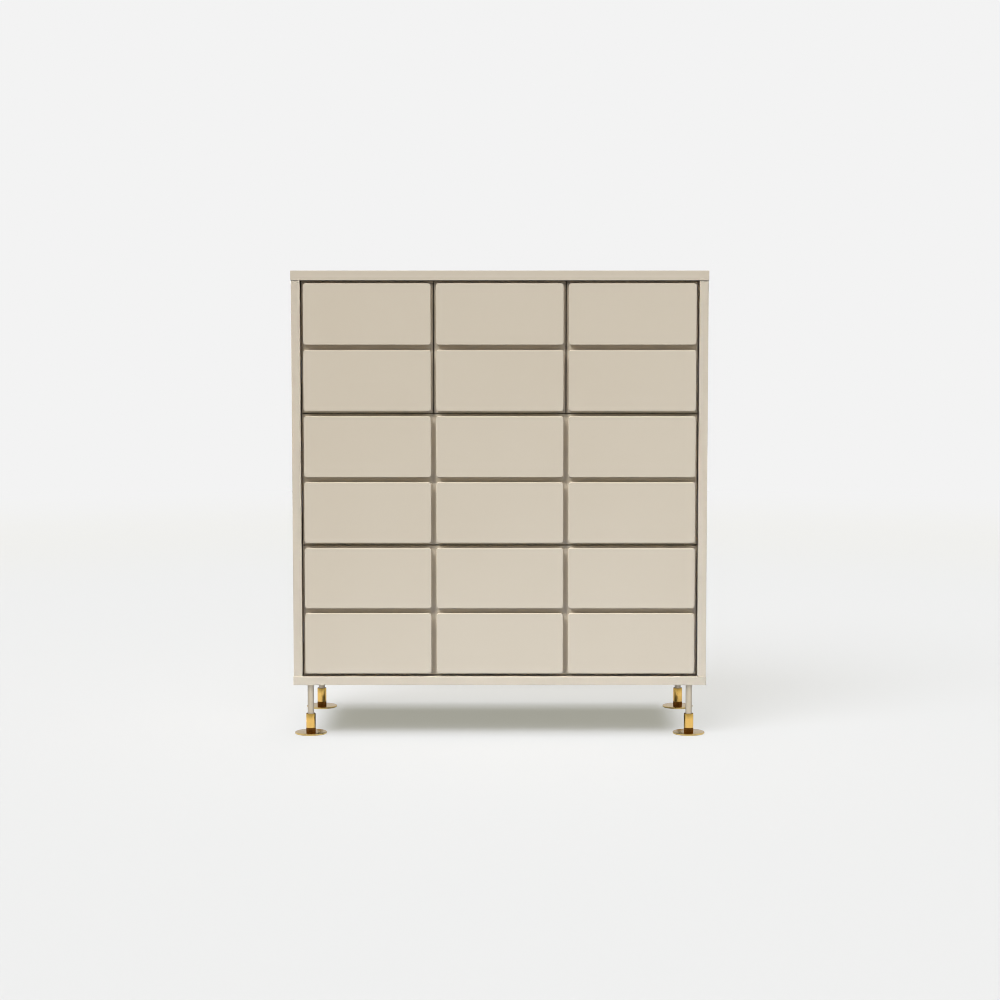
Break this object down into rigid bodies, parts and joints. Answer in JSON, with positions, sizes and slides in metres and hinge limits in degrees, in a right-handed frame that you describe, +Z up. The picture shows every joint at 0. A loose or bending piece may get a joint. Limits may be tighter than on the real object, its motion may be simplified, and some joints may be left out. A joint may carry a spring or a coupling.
{
  "type": "chest of drawers",
  "caption": "Floor-standing lacquered chest with padded-look drawer fronts, push-to-open drawers on telescopic runners, and slim legs in brass levelling feet.",
  "frame": {"origin": "on the floor, under the middle of the chest", "axes": "+X to the right seen from the front, +Y towards the back, +Z up; the drawers open towards -Y"},
  "size_m": [0.9, 0.4, 1.0125],
  "materials": {
    "greige_lacquer": "satin lacquer on fibreboard",
    "back_board": "matt lacquer",
    "birch_plywood": "clear matt lacquer",
    "drawer_board": "clear matt lacquer",
    "beech": "raw",
    "lacquered_steel": "satin lacquer",
    "polished_brass": "polished",
    "zinc_plated_steel": "zinc plated",
    "grey_plastic": "moulded",
    "white_plastic": "moulded"
  },
  "bodies": {
    "carcass": {"top_panel": "greige_lacquer", "bottom_panel": "greige_lacquer", "left_side_panel": "greige_lacquer", "right_side_panel": "greige_lacquer", "back_panel": "back_board", "drawer_shelf": "greige_lacquer", "left_partition": "greige_lacquer", "right_partition": "greige_lacquer", "wooden_dowels": "beech", "back_panel_screws": "zinc_plated_steel", "leg_inserts": "zinc_plated_steel", "leg_posts": "lacquered_steel", "cabinet_runners": "zinc_plated_steel", "runner_screws": "zinc_plated_steel", "latch_housings": "grey_plastic"},
    "upper_left_drawer": {"upper_left_drawer_front": "greige_lacquer", "upper_left_drawer_left_side": "birch_plywood", "upper_left_drawer_right_side": "birch_plywood", "upper_left_drawer_back": "birch_plywood", "upper_left_drawer_bottom": "drawer_board", "upper_left_drawer_runners": "zinc_plated_steel"},
    "upper_left_middle_runners": {"upper_left_middle_runners": "zinc_plated_steel"},
    "upper_left_latch_plungers": {"upper_left_latch_plungers": "white_plastic"},
    "upper_middle_drawer": {"upper_middle_drawer_front": "greige_lacquer", "upper_middle_drawer_left_side": "birch_plywood", "upper_middle_drawer_right_side": "birch_plywood", "upper_middle_drawer_back": "birch_plywood", "upper_middle_drawer_bottom": "drawer_board", "upper_middle_drawer_runners": "zinc_plated_steel"},
    "upper_middle_middle_runners": {"upper_middle_middle_runners": "zinc_plated_steel"},
    "upper_middle_latch_plungers": {"upper_middle_latch_plungers": "white_plastic"},
    "upper_right_drawer": {"upper_right_drawer_front": "greige_lacquer", "upper_right_drawer_left_side": "birch_plywood", "upper_right_drawer_right_side": "birch_plywood", "upper_right_drawer_back": "birch_plywood", "upper_right_drawer_bottom": "drawer_board", "upper_right_drawer_runners": "zinc_plated_steel"},
    "upper_right_middle_runners": {"upper_right_middle_runners": "zinc_plated_steel"},
    "upper_right_latch_plungers": {"upper_right_latch_plungers": "white_plastic"},
    "middle_drawer": {"middle_drawer_front": "greige_lacquer", "middle_drawer_left_side": "birch_plywood", "middle_drawer_right_side": "birch_plywood", "middle_drawer_back": "birch_plywood", "middle_drawer_bottom": "drawer_board", "middle_drawer_runners": "zinc_plated_steel"},
    "middle_middle_runners": {"middle_middle_runners": "zinc_plated_steel"},
    "middle_latch_plungers": {"middle_latch_plungers": "white_plastic"},
    "lower_drawer": {"lower_drawer_front": "greige_lacquer", "lower_drawer_left_side": "birch_plywood", "lower_drawer_right_side": "birch_plywood", "lower_drawer_back": "birch_plywood", "lower_drawer_bottom": "drawer_board", "lower_drawer_runners": "zinc_plated_steel"},
    "lower_middle_runners": {"lower_middle_runners": "zinc_plated_steel"},
    "lower_latch_plungers": {"lower_latch_plungers": "white_plastic"},
    "front_left_foot": {"front_left_foot": "polished_brass"},
    "front_right_foot": {"front_right_foot": "polished_brass"},
    "rear_left_foot": {"rear_left_foot": "polished_brass"},
    "rear_right_foot": {"rear_right_foot": "polished_brass"}
  },
  "joints": [
    {"name": "upper_left_drawer_slide", "type": "slide", "parent": "carcass", "child": "upper_left_drawer", "axis": [0, -1, 0], "range_m": [-0.0025, 0.35]},
    {"name": "upper_left_middle_runner_slide", "type": "slide", "parent": "carcass", "child": "upper_left_middle_runners", "axis": [0, -1, 0], "range_m": [-0.00125, 0.175]},
    {"name": "upper_left_latch_press", "type": "slide", "parent": "carcass", "child": "upper_left_latch_plungers", "axis": [0, 1, 0], "range_m": [0, 0.003], "stiffness_N_per_m": 2500, "springref_m": -0.002},
    {"name": "upper_middle_drawer_slide", "type": "slide", "parent": "carcass", "child": "upper_middle_drawer", "axis": [0, -1, 0], "range_m": [-0.0025, 0.35]},
    {"name": "upper_middle_middle_runner_slide", "type": "slide", "parent": "carcass", "child": "upper_middle_middle_runners", "axis": [0, -1, 0], "range_m": [-0.00125, 0.175]},
    {"name": "upper_middle_latch_press", "type": "slide", "parent": "carcass", "child": "upper_middle_latch_plungers", "axis": [0, 1, 0], "range_m": [0, 0.003], "stiffness_N_per_m": 2500, "springref_m": -0.002},
    {"name": "upper_right_drawer_slide", "type": "slide", "parent": "carcass", "child": "upper_right_drawer", "axis": [0, -1, 0], "range_m": [-0.0025, 0.35]},
    {"name": "upper_right_middle_runner_slide", "type": "slide", "parent": "carcass", "child": "upper_right_middle_runners", "axis": [0, -1, 0], "range_m": [-0.00125, 0.175]},
    {"name": "upper_right_latch_press", "type": "slide", "parent": "carcass", "child": "upper_right_latch_plungers", "axis": [0, 1, 0], "range_m": [0, 0.003], "stiffness_N_per_m": 2500, "springref_m": -0.002},
    {"name": "middle_drawer_slide", "type": "slide", "parent": "carcass", "child": "middle_drawer", "axis": [0, -1, 0], "range_m": [-0.0025, 0.35]},
    {"name": "middle_middle_runner_slide", "type": "slide", "parent": "carcass", "child": "middle_middle_runners", "axis": [0, -1, 0], "range_m": [-0.00125, 0.175]},
    {"name": "middle_latch_press", "type": "slide", "parent": "carcass", "child": "middle_latch_plungers", "axis": [0, 1, 0], "range_m": [0, 0.003], "stiffness_N_per_m": 2500, "springref_m": -0.002},
    {"name": "lower_drawer_slide", "type": "slide", "parent": "carcass", "child": "lower_drawer", "axis": [0, -1, 0], "range_m": [-0.0025, 0.35]},
    {"name": "lower_middle_runner_slide", "type": "slide", "parent": "carcass", "child": "lower_middle_runners", "axis": [0, -1, 0], "range_m": [-0.00125, 0.175]},
    {"name": "lower_latch_press", "type": "slide", "parent": "carcass", "child": "lower_latch_plungers", "axis": [0, 1, 0], "range_m": [0, 0.003], "stiffness_N_per_m": 2500, "springref_m": -0.002},
    {"name": "front_left_foot_level", "type": "slide", "parent": "carcass", "child": "front_left_foot", "axis": [0, 0, 1], "range_m": [0, 0.01]},
    {"name": "front_right_foot_level", "type": "slide", "parent": "carcass", "child": "front_right_foot", "axis": [0, 0, 1], "range_m": [0, 0.01]},
    {"name": "rear_left_foot_level", "type": "slide", "parent": "carcass", "child": "rear_left_foot", "axis": [0, 0, 1], "range_m": [0, 0.01]},
    {"name": "rear_right_foot_level", "type": "slide", "parent": "carcass", "child": "rear_right_foot", "axis": [0, 0, 1], "range_m": [0, 0.01]}
  ],
  "couplings": [
    {"joint": "upper_left_middle_runner_slide", "follows": "upper_left_drawer_slide", "ratio": 0.5},
    {"joint": "upper_middle_middle_runner_slide", "follows": "upper_middle_drawer_slide", "ratio": 0.5},
    {"joint": "upper_right_middle_runner_slide", "follows": "upper_right_drawer_slide", "ratio": 0.5},
    {"joint": "middle_middle_runner_slide", "follows": "middle_drawer_slide", "ratio": 0.5},
    {"joint": "lower_middle_runner_slide", "follows": "lower_drawer_slide", "ratio": 0.5}
  ]
}
